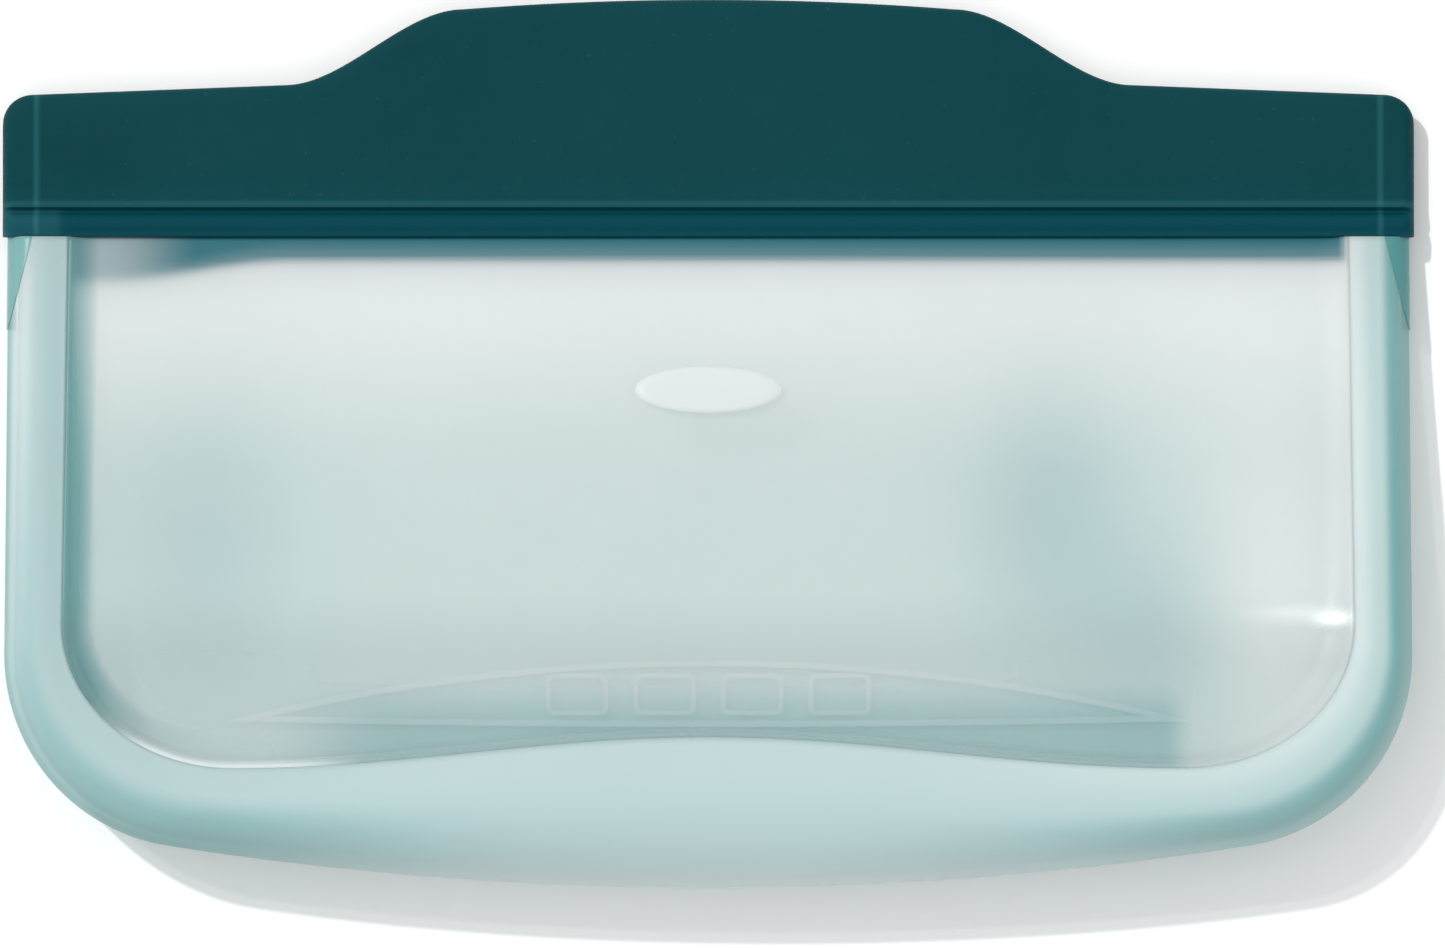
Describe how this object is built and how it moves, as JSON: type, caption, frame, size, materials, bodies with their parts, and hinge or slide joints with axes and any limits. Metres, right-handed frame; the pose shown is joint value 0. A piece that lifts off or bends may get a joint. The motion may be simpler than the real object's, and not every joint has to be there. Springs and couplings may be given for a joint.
{
  "type": "reusable silicone bag",
  "caption": "Stand-up silicone food bag with a clear body, dark lips with a pull tab, and a pinch seal whose mouth opens.",
  "frame": {"origin": "centre of the outline, on the surface that the back wall lies on", "axes": "+X across the width to the bag's right, +Y from the bottom gusset to the mouth, +Z out of the front wall"},
  "size_m": [0.19, 0.1191, 0.0243],
  "materials": {
    "clear_silicone": "frosted translucent silicone with a faint teal tint",
    "dark_silicone": "matte, fine grain",
    "seal_silicone": "satin",
    "web_silicone": "thin teal silicone, translucent",
    "badge_silicone": "satin, raised"
  },
  "bodies": {
    "bag_back": {"back_wall": "clear_silicone", "bottom_gusset": "clear_silicone", "left_side_gusset": "clear_silicone", "right_side_gusset": "clear_silicone", "base_outline": "clear_silicone", "care_marks": "clear_silicone", "left_corner_web": "web_silicone", "right_corner_web": "web_silicone", "back_lip": "dark_silicone", "left_end_weld": "dark_silicone", "right_end_weld": "dark_silicone", "seal_channel": "seal_silicone"},
    "bag_front": {"front_wall": "clear_silicone", "front_lip": "dark_silicone", "seal_rib": "seal_silicone", "oval_badge": "badge_silicone"}
  },
  "joints": [
    {"name": "mouth_opening", "type": "hinge", "parent": "bag_back", "child": "bag_front", "pos_m": [0, -0.0387, 0.0185], "axis": [1, 0, 0], "range_deg": [0, 28]}
  ]
}
